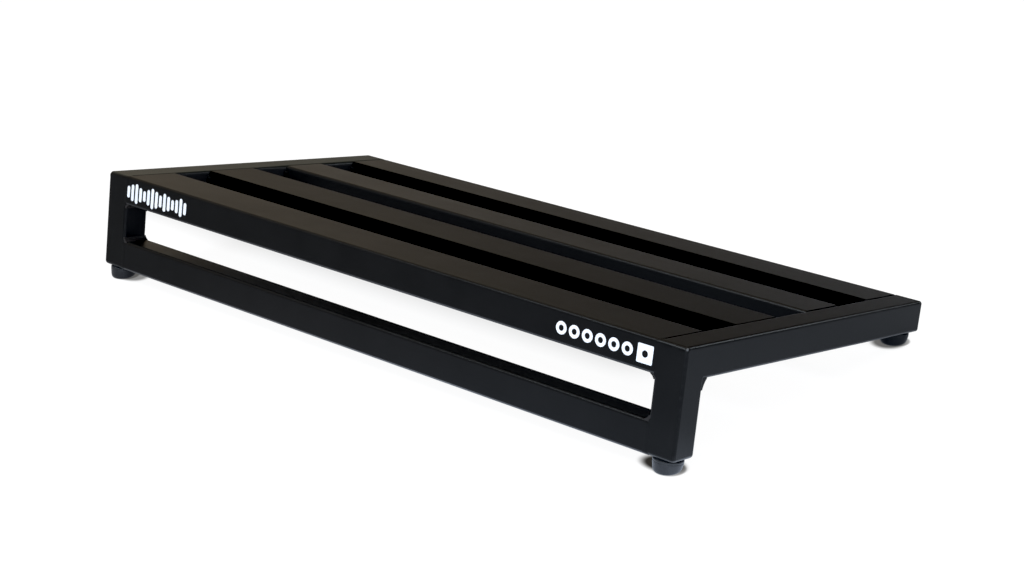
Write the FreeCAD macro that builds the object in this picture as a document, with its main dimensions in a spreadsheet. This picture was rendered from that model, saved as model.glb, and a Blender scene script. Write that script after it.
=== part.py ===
import FreeCAD, Part
import Sketcher
import math
import os

# Floor-standing pedalboard frame: four flat tube rails between two side rails,
# carried at the tall end by two legs joined by a lower rail, and standing on
# four rubber feet.  All lengths are millimetres.
#
# Model frame: +X along the length, -Y the tall face, +Y the low edge, +Z up,
# origin on the ground under the middle of the bounding box.
# Deck frame (used inside most sub-parts): x along the length from the left
# side rail's outer face, y down the slope of the deck from the tall face,
# z square to the deck with zero on its top surface.

os.makedirs("parts", exist_ok=True)
doc = FreeCAD.newDocument("pedalboard")
V = FreeCAD.Vector
PL = FreeCAD.Placement
ROT = FreeCAD.Rotation

# ---------------------------------------------------------------- dimensions
sheet = doc.addObject("Spreadsheet::Sheet", "Dims")
P = {}
row_no = [1]


def cell(alias, value, note):
    r = row_no[0]
    sheet.set("A%d" % r, note)
    sheet.set("B%d" % r, "%.10g" % value)
    sheet.setAlias("B%d" % r, alias)
    P[alias] = float("%.10g" % value)
    row_no[0] = r + 1


cell("board_length", 609.6, "overall length, side rail to side rail")
cell("deck_depth", 308.5, "deck depth measured down the slope")
cell("tube_height", 24.4, "height of every deck tube")
cell("side_width", 24.6, "width of the side rails and legs")
cell("wall", 1.6, "tube wall")
cell("edge_radius", 2.4, "outer edge radius of the tubes")
cell("bore_radius", 0.8, "inner corner radius of the tubes")
cell("wide_rail", 52.0, "width of deck rails 1 and 2")
cell("slim_rail", 44.5, "width of deck rails 3 and 4")
cell("rail_two_start", 89.3, "tall-side edge of deck rail 2")
cell("rail_three_start", 180.1, "tall-side edge of deck rail 3")
cell("leg_depth", 23.2, "front to back depth of legs and lower rail")
cell("leg_drop", 80.6, "deck surface to leg end, square to the deck")
cell("leg_lean_deg", 0.97, "leg lean from square, foot end inwards")
cell("lean_pivot", 12.2, "depth at which leaning front and square front agree")
cell("window_drop", 56.0, "deck surface to top of the lower rail")
cell("cap_thick", 3.0, "welded end plates")
cell("cap_edge", 1.9, "ground edge radius of the end plates")
cell("foot_inset_side", 12.3, "foot centre from the outer side face")
cell("foot_inset_low", 14.1, "low foot centre from the low edge, down the slope")
cell("foot_height", 9.6, "mounting face to sole on the foot's axis")
cell("foot_top_dia", 21.8, "rubber foot, diameter at the frame")
cell("foot_sole_dia", 20.4, "rubber foot, diameter at the sole")
cell("foot_edge", 2.8, "sole edge radius")
cell("foot_pocket_dia", 9.8, "screw pocket in the foot")
cell("foot_web", 3.2, "rubber left under the screw's washer")
cell("screw_dia", 4.0, "M4 foot screw")
cell("screw_clear", 4.4, "clearance hole for the foot screw")
cell("screw_length", 12.0, "foot screw under the head")
cell("screw_head_dia", 7.8, "pan head diameter")
cell("screw_head_height", 2.4, "pan head height")
cell("washer_dia", 9.2, "cup washer outside diameter")
cell("washer_thick", 0.8, "cup washer thickness")
cell("nut_flange_dia", 9.6, "rivet nut flange diameter")
cell("nut_flange_thick", 0.8, "rivet nut flange thickness")
cell("nut_body_dia", 6.0, "rivet nut body diameter")
cell("nut_length", 8.5, "rivet nut body length behind the flange")
cell("nut_bore", 4.1, "rivet nut bore, M4")
cell("nut_hole", 6.1, "hole for the rivet nut")
cell("bead_knee_rise", 4.6, "knee weld leg up the post")
cell("bead_knee_run", 4.0, "knee weld leg along the side rail")
cell("bead_window", 3.4, "window corner weld leg")
cell("bead_deck", 2.6, "deck rail corner weld leg")
cell("mark_thick", 0.12, "printed mark thickness")

lean = math.radians(P["leg_lean_deg"])
tan_l, cos_l, sin_l = math.tan(lean), math.cos(lean), math.sin(lean)
corner_y = -P["lean_pivot"] * tan_l                       # outer corner of the mitre
leg_y = (P["leg_drop"] - P["lean_pivot"]) * tan_l          # front lower corner of the leg
leg_front = P["leg_drop"] / cos_l                          # leg length at its front
leg_back = (P["leg_drop"] - P["leg_depth"] * sin_l - P["tube_height"]) / cos_l
knee_y = leg_y + P["leg_depth"] * cos_l - leg_back * sin_l
# tall foot sole centre and low foot sole centre in the deck frame
tall_c = (leg_y + P["leg_depth"] / 2 * cos_l, -P["leg_drop"] + P["leg_depth"] / 2 * sin_l)
tall_s = (tall_c[0] + P["foot_height"] * sin_l, tall_c[1] - P["foot_height"] * cos_l)
low_c = (P["deck_depth"] - P["foot_inset_low"], -P["tube_height"])
low_s = (low_c[0], low_c[1] - P["foot_height"])
tilt = math.atan2(low_s[1] - tall_s[1], low_s[0] - tall_s[0])

cell("leg_front", leg_front, "leg length at its front face, from the leg end to the mitre")
cell("leg_back", leg_back, "leg length at its back face, from the leg end to the mitre")
cell("mitre_run", knee_y - corner_y, "length of the mitre along the side rail")
cell("side_length", P["deck_depth"] - corner_y, "side rail length along its top")
cell("tilt_deg", math.degrees(tilt), "slope of the deck, set by feet of equal height")
cell("leg_tilt_deg", math.degrees(tilt - lean), "slope of the leg ends to the ground")
cell("origin_y", -143.71, "deck frame origin in the model frame")
cell("origin_z", low_s[0] * math.sin(tilt) - low_s[1] * math.cos(tilt), "deck frame origin above the ground")
doc.recompute()

DECK = PL(V(-P["board_length"] / 2, P["origin_y"], P["origin_z"]), ROT(V(1, 0, 0), -P["tilt_deg"]))
# Leg frame: origin at the lower front outer corner, z up the leg.


def leg_frame(x):
    return DECK * PL(V(x, leg_y, -P["leg_drop"]), ROT(V(1, 0, 0), P["leg_lean_deg"]))


def deck_at(x, y, z):
    return DECK * PL(V(x, y, z), ROT())


# ------------------------------------------------------------------- helpers
def origin_plane(body, role):
    for f in body.Origin.OriginFeatures:
        if f.Role == role:
            return f
    raise RuntimeError("no plane " + role)


def new_body(name):
    b = doc.addObject("PartDesign::Body", name)
    b.Label = name
    return b


def sketch(body, tag, role, offset=None):
    s = body.newObject("Sketcher::SketchObject", body.Name + "_" + tag)
    s.AttachmentSupport = [(origin_plane(body, role), "")]
    s.MapMode = "FlatFace"
    if offset is not None:
        s.AttachmentOffset = PL(V(0, 0, offset[0]), ROT())
        if offset[1]:
            s.setExpression("AttachmentOffset.Base.z", offset[1])
    return s


def pin(s, geo, pos, axis, value, expr, k):
    # hold one coordinate of a point, always as a positive distance
    kind = "DistanceX" if axis == 0 else "DistanceY"
    if abs(value) < 1e-9:
        s.addConstraint(Sketcher.Constraint("PointOnObject", geo, pos, -2 if axis == 0 else -1))
        return
    if value > 0:
        c = Sketcher.Constraint(kind, -1, 1, geo, pos, value)
    else:
        c = Sketcher.Constraint(kind, geo, pos, -1, 1, -value)
    i = s.addConstraint(c)
    n = "d%d_%d" % (k, axis)
    s.renameConstraint(i, n)
    if expr:
        s.setExpression("Constraints." + n, expr)


def polygon(s, pts):
    # closed polygon; each point is ((x, expression of |x|), (y, expression of |y|))
    n = len(pts)
    base = s.GeometryCount
    for i in range(n):
        a, b = pts[i], pts[(i + 1) % n]
        s.addGeometry(Part.LineSegment(V(a[0][0], a[1][0], 0), V(b[0][0], b[1][0], 0)), False)
    for i in range(n):
        s.addConstraint(Sketcher.Constraint("Coincident", base + i, 2, base + (i + 1) % n, 1))
    for i in range(n):
        (x, ex), (y, ey) = pts[i]
        if abs(x) < 1e-9 and abs(y) < 1e-9:
            s.addConstraint(Sketcher.Constraint("Coincident", base + i, 1, -1, 1))
        else:
            pin(s, base + i, 1, 0, x, ex, base + i)
            pin(s, base + i, 1, 1, y, ey, base + i)


def circle(s, x, ex, y, ey, dia, edia):
    g = s.addGeometry(Part.Circle(V(x, y, 0), V(0, 0, 1), dia / 2.0), False)
    if abs(x) < 1e-9 and abs(y) < 1e-9:
        s.addConstraint(Sketcher.Constraint("Coincident", g, 3, -1, 1))
    else:
        pin(s, g, 3, 0, x, ex, g)
        pin(s, g, 3, 1, y, ey, g)
    i = s.addConstraint(Sketcher.Constraint("Diameter", g, dia))
    s.renameConstraint(i, "dia%d" % g)
    if edia:
        s.setExpression("Constraints.dia%d" % g, edia)


def pad(body, s, length, expr, tag="pad"):
    f = body.newObject("PartDesign::Pad", body.Name + "_" + tag)
    f.Profile = s
    f.Length = length
    if expr:
        f.setExpression("Length", expr)
    s.Visibility = False
    doc.recompute()
    return f


def pocket(body, s, length=None, expr=None, through=False, both=False, reverse=False, tag="pocket"):
    before = body.Shape.Volume
    f = body.newObject("PartDesign::Pocket", body.Name + "_" + tag)
    f.Profile = s
    if both:
        f.Midplane = True
    if through:
        f.Type = 1
    else:
        f.Length = length
        if expr:
            f.setExpression("Length", expr)
    f.Reversed = reverse
    s.Visibility = False
    doc.recompute()
    if not body.Shape.Volume < before - 1e-3:
        raise RuntimeError("pocket %s removed nothing" % f.Name)
    return f


def fillet(body, base, test, radius, expr, tag="fillet"):
    names = []
    for i, e in enumerate(base.Shape.Edges):
        if test(e):
            names.append("Edge%d" % (i + 1))
    if not names:
        raise RuntimeError("no edges for " + body.Name + " " + tag)
    f = body.newObject("PartDesign::Fillet", body.Name + "_" + tag)
    f.Base = (base, names)
    f.Radius = radius
    if expr:
        f.setExpression("Radius", expr)
    doc.recompute()
    return f


def along(axis, minimum):
    # straight edges running along one local axis, longer than a limit
    def test(e):
        if not isinstance(e.Curve, (Part.Line, Part.LineSegment)) or e.Length < minimum:
            return False
        d = e.Vertexes[-1].Point.sub(e.Vertexes[0].Point)
        return abs(d[axis]) > 0.999 * e.Length
    return test


nodes = []


def keep(obj, label):
    obj.Label = label
    nodes.append((label, obj))
    return obj


# ------------------------------------------------------- square-ended tubes
def tube(name, width, ewidth, height, eheight, length, elength, placement):
    """Rectangular tube along local x, with its lower corner at the local origin."""
    b = new_body(name)
    s = sketch(b, "outer", "YZ_Plane")
    polygon(s, [((0, None), (0, None)), ((width, ewidth), (0, None)),
                ((width, ewidth), (height, eheight)), ((0, None), (height, eheight))])
    f = pad(b, s, length, elength)
    f = fillet(b, f, along(0, 20), P["edge_radius"], "Dims.edge_radius")
    w = P["wall"]
    s = sketch(b, "inner", "YZ_Plane")
    polygon(s, [((w, "Dims.wall"), (w, "Dims.wall")),
                ((width - w, ewidth + " - Dims.wall"), (w, "Dims.wall")),
                ((width - w, ewidth + " - Dims.wall"), (height - w, eheight + " - Dims.wall")),
                ((w, "Dims.wall"), (height - w, eheight + " - Dims.wall"))])
    f = pocket(b, s, through=True, reverse=True, tag="hollow")
    bore = []
    for i, e in enumerate(f.Shape.Edges):
        if along(0, 20)(e):
            p = e.Vertexes[0].Point
            if w - 0.01 < p.y < width - w + 0.01 and w - 0.01 < p.z < height - w + 0.01:
                bore.append("Edge%d" % (i + 1))
    g = b.newObject("PartDesign::Fillet", name + "_bore_fillet")
    g.Base = (f, bore)
    g.Radius = P["bore_radius"]
    g.setExpression("Radius", "Dims.bore_radius")
    doc.recompute()
    b.Placement = placement
    return b


span = P["board_length"] - 2 * P["side_width"]
ESPAN = "Dims.board_length - 2 * Dims.side_width"
rail_rows = [
    ("deck_rail_1", 0.0, P["wide_rail"], "Dims.wide_rail"),
    ("deck_rail_2", P["rail_two_start"], P["wide_rail"], "Dims.wide_rail"),
    ("deck_rail_3", P["rail_three_start"], P["slim_rail"], "Dims.slim_rail"),
    ("deck_rail_4", P["deck_depth"] - P["slim_rail"], P["slim_rail"], "Dims.slim_rail"),
]
for name, start, width, ewidth in rail_rows:
    keep(tube(name, width, ewidth, P["tube_height"], "Dims.tube_height", span, ESPAN,
              deck_at(P["side_width"], start, -P["tube_height"])), name)

# Lower rail of the tall face, in the leaning leg frame.
low_h = (P["leg_drop"] - P["window_drop"]) / cos_l
cell("lower_height", low_h, "height of the lower rail")
doc.recompute()
keep(tube("lower_rail", P["leg_depth"], "Dims.leg_depth", P["lower_height"], "Dims.lower_height",
          span, ESPAN, leg_frame(P["side_width"])), "lower_rail")


# ----------------------------------------------------- mitred corner tools
def corner_tool(name, placement, width_expr):
    """Removes the sharp top front corner where side rail and leg meet: a small
    square bar less a round bar of the edge radius."""
    box = doc.addObject("Part::Box", name + "_bar")
    box.setExpression("Length", width_expr)
    box.setExpression("Width", "Dims.edge_radius + 1")
    box.setExpression("Height", "Dims.edge_radius + 1")
    r = P["edge_radius"]
    box.Placement = PL(V(-0.5, -1, -r), ROT())
    rod = doc.addObject("Part::Cylinder", name + "_rod")
    rod.setExpression("Radius", "Dims.edge_radius")
    rod.setExpression("Height", width_expr + " + 1")
    rod.Placement = PL(V(-1, r, -r), ROT(V(0, 1, 0), 90))
    cut = doc.addObject("Part::Cut", name)
    cut.Base, cut.Tool = box, rod
    cut.Placement = placement
    doc.recompute()
    return cut


def subtract(name, base, tools):
    out = base
    for i, t in enumerate(tools):
        c = doc.addObject("Part::Cut", "%s_cut%d" % (name, i))
        c.Base, c.Tool = out, t
        doc.recompute()
        if not c.Shape.Volume < out.Shape.Volume - 1e-4:
            raise RuntimeError("cut %s removed nothing" % c.Name)
        out = c
    return out


def drill(name, dia_expr, depth, placement):
    c = doc.addObject("Part::Cylinder", name)
    c.setExpression("Radius", dia_expr + " / 2")
    c.Height = depth
    c.Placement = placement
    return c


# ------------------------------------------------------------- side rails
def side_rail(name, x0):
    b = new_body(name + "_tube")
    w, hgt = P["wall"], P["tube_height"]
    run, top = P["mitre_run"], P["side_length"] - P["cap_thick"]
    etop = "Dims.side_length - Dims.cap_thick"
    s = sketch(b, "outer", "YZ_Plane")
    polygon(s, [((run, "Dims.mitre_run"), (0, None)), ((top, etop), (0, None)),
                ((top, etop), (hgt, "Dims.tube_height")), ((0, None), (hgt, "Dims.tube_height"))])
    f = pad(b, s, P["side_width"], "Dims.side_width")
    f = fillet(b, f, along(1, 60), P["edge_radius"], "Dims.edge_radius")
    # hollow: the bore carries on past both ends, offset from the walls
    s = sketch(b, "inner", "YZ_Plane", (w, "Dims.wall"))
    polygon(s, [((-30.0, None), (w, "Dims.wall")), ((top + 5, etop + " + 5"), (w, "Dims.wall")),
                ((top + 5, etop + " + 5"), (hgt - w, "Dims.tube_height - Dims.wall")),
                ((-30.0, None), (hgt - w, "Dims.tube_height - Dims.wall"))])
    pocket(b, s, P["side_width"] - 2 * w, "Dims.side_width - 2 * Dims.wall", reverse=True, tag="hollow")
    base = deck_at(x0, corner_y, -hgt)
    b.Placement = base
    tool = corner_tool(name + "_corner", leg_frame(x0 - 1) * PL(V(0, 0, P["leg_front"]), ROT()),
                       "Dims.side_width + 4")
    hole = drill(name + "_nut_hole", "Dims.nut_hole", 6.0,
                 deck_at(x0 + P["foot_inset_side"] if x0 < 1 else x0 + P["side_width"] - P["foot_inset_side"],
                         P["deck_depth"] - P["foot_inset_low"], -hgt - 2.0))
    return keep(subtract(name, b, [tool, hole]), name)


left_x, right_x = 0.0, P["board_length"] - P["side_width"]
side_rail("side_rail_left", left_x)
side_rail("side_rail_right", right_x)


# ------------------------------------------------------------------- legs
def leg(name, x0):
    b = new_body(name + "_tube")
    w, dep, cap = P["wall"], P["leg_depth"], P["cap_thick"]
    s = sketch(b, "outer", "YZ_Plane")
    polygon(s, [((0, None), (cap, "Dims.cap_thick")), ((dep, "Dims.leg_depth"), (cap, "Dims.cap_thick")),
                ((dep, "Dims.leg_depth"), (P["leg_back"], "Dims.leg_back")),
                ((0, None), (P["leg_front"], "Dims.leg_front"))])
    f = pad(b, s, P["side_width"], "Dims.side_width")
    f = fillet(b, f, along(2, 30), P["edge_radius"], "Dims.edge_radius")
    s = sketch(b, "inner", "YZ_Plane", (w, "Dims.wall"))
    polygon(s, [((w, "Dims.wall"), (-5.0, None)), ((dep - w, "Dims.leg_depth - Dims.wall"), (-5.0, None)),
                ((dep - w, "Dims.leg_depth - Dims.wall"), (P["leg_front"] + 20, "Dims.leg_front + 20")),
                ((w, "Dims.wall"), (P["leg_front"] + 20, "Dims.leg_front + 20"))])
    pocket(b, s, P["side_width"] - 2 * w, "Dims.side_width - 2 * Dims.wall", reverse=True, tag="hollow")
    b.Placement = leg_frame(x0)
    tool = corner_tool(name + "_corner", leg_frame(x0 - 1) * PL(V(0, 0, P["leg_front"]), ROT()),
                       "Dims.side_width + 4")
    return keep(subtract(name, b, [tool]), name)


leg("leg_left", left_x)
leg("leg_right", right_x)


# -------------------------------------------------------------- end plates
def end_plate(name, width, ewidth, height, eheight, placement, hole_at=None, keep_square=None):
    """Rounded plate in the local xy plane, its outer face on z = 0, body towards +z.
    keep_square: 'x0' or 'x1' leaves that outer edge unground where a rail meets it."""
    b = new_body(name)
    s = sketch(b, "outline", "XY_Plane")
    polygon(s, [((0, None), (0, None)), ((width, ewidth), (0, None)),
                ((width, ewidth), (height, eheight)), ((0, None), (height, eheight))])
    f = pad(b, s, P["cap_thick"], "Dims.cap_thick")
    f = fillet(b, f, along(2, 1.0), P["edge_radius"], "Dims.edge_radius")

    def ground(e):
        zs = [v.Point.z for v in e.Vertexes]
        if max(zs) > 1e-6:
            return False
        return True

    f = fillet(b, f, ground, P["cap_edge"], "Dims.cap_edge", tag="ground")
    if hole_at is not None:
        s = sketch(b, "hole", "XY_Plane")
        circle(s, hole_at[0], None, hole_at[1], None, P["nut_hole"], "Dims.nut_hole")
        pocket(b, s, through=True, reverse=True, tag="bore")
    b.Placement = placement
    return keep(b, name)


# leg ends: local z runs up the leg
for side, x0 in (("left", left_x), ("right", right_x)):
    end_plate("leg_end_plate_" + side, P["side_width"], "Dims.side_width", P["leg_depth"], "Dims.leg_depth",
              leg_frame(x0), hole_at=(P["foot_inset_side"] if side == "left" else P["side_width"] - P["foot_inset_side"],
                                      P["leg_depth"] / 2))
# side rail low ends: local z runs back up the slope
for side, x0 in (("left", left_x), ("right", right_x)):
    end_plate("side_rail_end_plate_" + side, P["side_width"], "Dims.side_width", P["tube_height"], "Dims.tube_height",
              deck_at(x0, P["deck_depth"], -P["tube_height"]) * PL(V(0, 0, 0), ROT(V(1, 0, 0), 90)))


# -------------------------------------------------------------------- feet
def foot(name, placement, slope_deg):
    """Tapered rubber foot, axis on local z, top at z = -flange; the sole is cut to the ground."""
    b = new_body(name)
    top = -P["nut_flange_thick"]
    r1, r2, deep = P["foot_top_dia"] / 2, P["foot_sole_dia"] / 2, 12.0
    s = sketch(b, "profile", "XZ_Plane")
    hole_r = P["screw_clear"] / 2
    pock_r = P["foot_pocket_dia"] / 2
    web = P["foot_web"]
    taper = (r1 - r2) / (P["foot_height"] - P["nut_flange_thick"])
    r_deep = r1 - taper * (deep - P["nut_flange_thick"])
    polygon(s, [((hole_r, "Dims.screw_clear / 2"), (top, "Dims.nut_flange_thick")),
                ((r1, "Dims.foot_top_dia / 2"), (top, "Dims.nut_flange_thick")),
                ((r_deep, None), (-deep, None)),
                ((pock_r, "Dims.foot_pocket_dia / 2"), (-deep, None)),
                ((pock_r, "Dims.foot_pocket_dia / 2"), (top - web, "Dims.nut_flange_thick + Dims.foot_web")),
                ((hole_r, "Dims.screw_clear / 2"), (top - web, "Dims.nut_flange_thick + Dims.foot_web"))])
    f = b.newObject("PartDesign::Revolution", name + "_turn")
    f.Profile = s
    f.ReferenceAxis = (s, ["V_Axis"])
    f.Angle = 360
    doc.recompute()
    t = math.tan(math.radians(slope_deg))
    s = sketch(b, "sole", "YZ_Plane")
    fh = P["foot_height"]
    polygon(s, [((-14.0, None), (-(fh + 14 * t), None)), ((14.0, None), (-(fh - 14 * t), None)),
                ((14.0, None), (-20.0, None)), ((-14.0, None), (-20.0, None))])
    f = pocket(b, s, 40.0, None, both=True, tag="ground_cut")

    def outer(e):
        c = e.BoundBox
        if max(c.XLength, c.YLength) < P["foot_pocket_dia"] + 1:
            return False
        return min(v.Point.z for v in e.Vertexes) < -4 and c.ZMax < -3

    f = fillet(b, f, outer, P["foot_edge"], "Dims.foot_edge", tag="sole_edge")
    g = fillet(b, f, lambda e: abs(e.BoundBox.ZMax - top) < 1e-4 and e.BoundBox.ZLength < 1e-4
               and e.BoundBox.XLength > P["foot_pocket_dia"] + 1, 0.5, None, tag="top_edge")
    b.Placement = placement
    return keep(b, name)


def foot_places():
    rows = []
    for side, x0, xin in (("left", left_x, P["foot_inset_side"]),
                          ("right", right_x, P["side_width"] - P["foot_inset_side"])):
        rows.append(("tall_" + side, leg_frame(x0) * PL(V(xin, P["leg_depth"] / 2, 0), ROT()), P["leg_tilt_deg"]))
        rows.append(("low_" + side, deck_at(x0 + xin, P["deck_depth"] - P["foot_inset_low"], -P["tube_height"]),
                     P["tilt_deg"]))
    return rows


places = foot_places()
for tag, pl, slope in places:
    foot("foot_" + tag, pl, slope)


# ------------------------------------------------ foot fasteners (groups)
def turned(name, pts):
    b = new_body(name)
    s = sketch(b, "profile", "XZ_Plane")
    polygon(s, pts)
    f = b.newObject("PartDesign::Revolution", name + "_turn")
    f.Profile = s
    f.ReferenceAxis = (s, ["V_Axis"])
    f.Angle = 360
    doc.recompute()
    return b, f


fl, web, wt = P["nut_flange_thick"], P["foot_web"], P["washer_thick"]
# rivet nut: flange below the mounting face, body above it
nut, _ = turned("rivet_nut", [
    ((P["nut_bore"] / 2, "Dims.nut_bore / 2"), (-fl, "Dims.nut_flange_thick")),
    ((P["nut_flange_dia"] / 2, "Dims.nut_flange_dia / 2"), (-fl, "Dims.nut_flange_thick")),
    ((P["nut_flange_dia"] / 2, "Dims.nut_flange_dia / 2"), (0, None)),
    ((P["nut_body_dia"] / 2, "Dims.nut_body_dia / 2"), (0, None)),
    ((P["nut_body_dia"] / 2, "Dims.nut_body_dia / 2"), (P["nut_length"], "Dims.nut_length")),
    ((P["nut_bore"] / 2, "Dims.nut_bore / 2"), (P["nut_length"], "Dims.nut_length"))])
# cup washer seated on the rubber web
zt = -(fl + web)
washer, _ = turned("cup_washer", [
    ((P["screw_clear"] / 2, "Dims.screw_clear / 2"), (zt - wt, "Dims.nut_flange_thick + Dims.foot_web + Dims.washer_thick")),
    ((P["washer_dia"] / 2, "Dims.washer_dia / 2"), (zt - wt, "Dims.nut_flange_thick + Dims.foot_web + Dims.washer_thick")),
    ((P["washer_dia"] / 2, "Dims.washer_dia / 2"), (zt, "Dims.nut_flange_thick + Dims.foot_web")),
    ((P["screw_clear"] / 2, "Dims.screw_clear / 2"), (zt, "Dims.nut_flange_thick + Dims.foot_web"))])
# pan-head screw with a cross recess
zh = zt - wt
hh, hr, sr = P["screw_head_height"], P["screw_head_dia"] / 2, P["screw_dia"] / 2
screw, f = turned("foot_screw", [
    ((0, None), (zh - hh, "Dims.nut_flange_thick + Dims.foot_web + Dims.washer_thick + Dims.screw_head_height")),
    ((hr, "Dims.screw_head_dia / 2"), (zh - hh, "Dims.nut_flange_thick + Dims.foot_web + Dims.washer_thick + Dims.screw_head_height")),
    ((hr, "Dims.screw_head_dia / 2"), (zh, "Dims.nut_flange_thick + Dims.foot_web + Dims.washer_thick")),
    ((sr, "Dims.screw_dia / 2"), (zh, "Dims.nut_flange_thick + Dims.foot_web + Dims.washer_thick")),
    ((sr, "Dims.screw_dia / 2"), (zh + P["screw_length"], None)),
    ((0, None), (zh + P["screw_length"], None))])
f = fillet(screw, f, lambda e: abs(e.BoundBox.ZMax - (zh - hh)) < 1e-4 and e.BoundBox.XLength > 5, 1.3, None, tag="crown")
f = fillet(screw, f, lambda e: abs(e.BoundBox.ZMin - (zh + P["screw_length"])) < 1e-4 and e.BoundBox.XLength > 3, 0.5, None, tag="tip")
for k, (a, c) in enumerate(((2.2, 0.5), (0.5, 2.2))):
    s = sketch(screw, "slot%d" % k, "XY_Plane", (zh - hh, None))
    polygon(s, [((-a, None), (-c, None)), ((a, None), (-c, None)), ((a, None), (c, None)), ((-a, None), (c, None))])
    pocket(screw, s, 1.4, None, reverse=True, tag="slot%d" % k)
doc.recompute()


def group(label, master):
    """Identical pieces at the four feet, kept as separate solids in one node."""
    solids = []
    for tag, pl, slope in places:
        sh = master.Shape.copy()
        sh.Placement = pl
        solids.append(sh.Solids[0])
    o = doc.addObject("Part::Feature", label)
    o.Shape = Part.makeCompound(solids)
    return keep(o, label)


group("rivet_nuts", nut)
group("foot_washers", washer)
group("foot_screws", screw)


# ------------------------------------------------------------------- welds
def bead(name, run, rise, length, placement, bulge=0.35):
    """Fillet weld: a right-angled section with a slightly hollow face, along local x.
    Local y is the run along one wall, local z the rise up the other."""
    a, b_ = V(0, run, 0), V(0, 0, rise)
    mid = V(0, run * bulge, rise * bulge)
    arc = Part.Arc(a, mid, b_).toShape()
    wire = Part.Wire([Part.makeLine(V(0, 0, 0), a), arc, Part.makeLine(b_, V(0, 0, 0))])
    solid = Part.Face(wire).extrude(V(length, 0, 0))
    solid.Placement = placement
    return solid


def weld_group(label, solids):
    o = doc.addObject("Part::Feature", label)
    o.Shape = Part.makeCompound(solids)
    return keep(o, label)


r = P["edge_radius"]
# Knee: between the back of each leg and the underside of the side rail.
for side, x0 in (("left", left_x), ("right", right_x)):
    o = bead("knee", P["bead_knee_run"], P["bead_knee_rise"], P["side_width"] - 2 * 1.6,
             deck_at(x0 + 1.6, knee_y, -P["tube_height"]) * PL(V(0, 0, 0), ROT()))
    # run along +y, rise towards -z: mirror the section about the deck plane
    solid = bead("knee", P["bead_knee_run"], P["bead_knee_rise"], P["side_width"] - 2 * 1.6, PL())
    m = FreeCAD.Matrix()
    m.scale(V(1, 1, -1))
    solid = solid.transformGeometry(m)
    shear = math.tan(lean)
    # the leg's back face leans, so the section is cut back to it
    solid.Placement = deck_at(x0 + 1.6, knee_y, -P["tube_height"])
    legobj = [ob for n, ob in nodes if n == "leg_" + side][0]
    railobj = [ob for n, ob in nodes if n == "side_rail_" + side][0]
    solid = solid.cut(legobj.Shape).cut(railobj.Shape)
    weld_group("weld_bead_knee_" + side, [sorted(solid.Solids, key=lambda q: -q.Volume)[0]])

# Window corners: between legs and the rails above and below, along the depth.
wins = []
for side in ("left", "right"):
    sx = P["side_width"] if side == "left" else P["board_length"] - P["side_width"]
    sgn = 1 if side == "left" else -1
    for where in ("top", "bottom"):
        leg_b = P["bead_window"]
        d0 = r
        ln = P["leg_depth"] - 2 * r
        zc = P["lower_height"] if where == "bottom" else (P["leg_drop"] - P["tube_height"]) / cos_l - 0.0
        up = 1 if where == "bottom" else -1
        a = V(sgn * leg_b, 0, 0)
        c = V(0, 0, up * leg_b)
        mid = V(sgn * leg_b * 0.36, 0, up * leg_b * 0.36)
        lift = 0.0
        wire = Part.Wire([Part.makeLine(V(0, 0, 0), a), Part.Arc(a, mid, c).toShape(), Part.makeLine(c, V(0, 0, 0))])
        solid = Part.Face(wire).extrude(V(0, ln, 0))
        if where == "top":
            # the rail above is square to the deck, so the weld reaches up to meet it
            ext = Part.Face(Part.Wire([Part.makeLine(V(0, 0, 0), a), Part.makeLine(a, V(sgn * leg_b, 0, 1.2)),
                                       Part.makeLine(V(sgn * leg_b, 0, 1.2), V(0, 0, 1.2)),
                                       Part.makeLine(V(0, 0, 1.2), V(0, 0, 0))])).extrude(V(0, ln, 0))
            solid = solid.fuse(ext).removeSplitter()
        solid.Placement = leg_frame(0) * PL(V(sx, d0, zc), ROT())
        for n, ob in nodes:
            if n in ("deck_rail_1", "lower_rail", "leg_" + side, "side_rail_" + side):
                solid = solid.cut(ob.Shape)
        wins.append(sorted(solid.Solids, key=lambda q: -q.Volume)[0])
weld_group("weld_beads_window", wins)

# Flush-ground seams on the tall face: they fill the groove beside each rounded leg edge.
seams = []
for side in ("left", "right"):
    sx = P["side_width"] - r if side == "left" else P["board_length"] - P["side_width"]
    for z0, z1 in ((r, P["lower_height"] - r), (P["leg_drop"] / cos_l - P["tube_height"] + r, P["leg_front"] - r)):
        box = Part.makeBox(r, r, z1 - z0, V(0, 0, 0))
        box.Placement = leg_frame(sx) * PL(V(0, 0, z0), ROT())
        for n, ob in nodes:
            if n in ("leg_" + side, "side_rail_" + side, "deck_rail_1", "lower_rail", "leg_end_plate_" + side):
                box = box.cut(ob.Shape)
        keepers = [q for q in box.Solids if q.Volume > 1.0]
        # keep the piece that lies on the tall face
        keepers.sort(key=lambda q: (leg_frame(sx).inverse().multVec(q.CenterOfMass)).y)
        seams.append(keepers[0])
weld_group("weld_seams_tall_face", seams)

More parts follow.
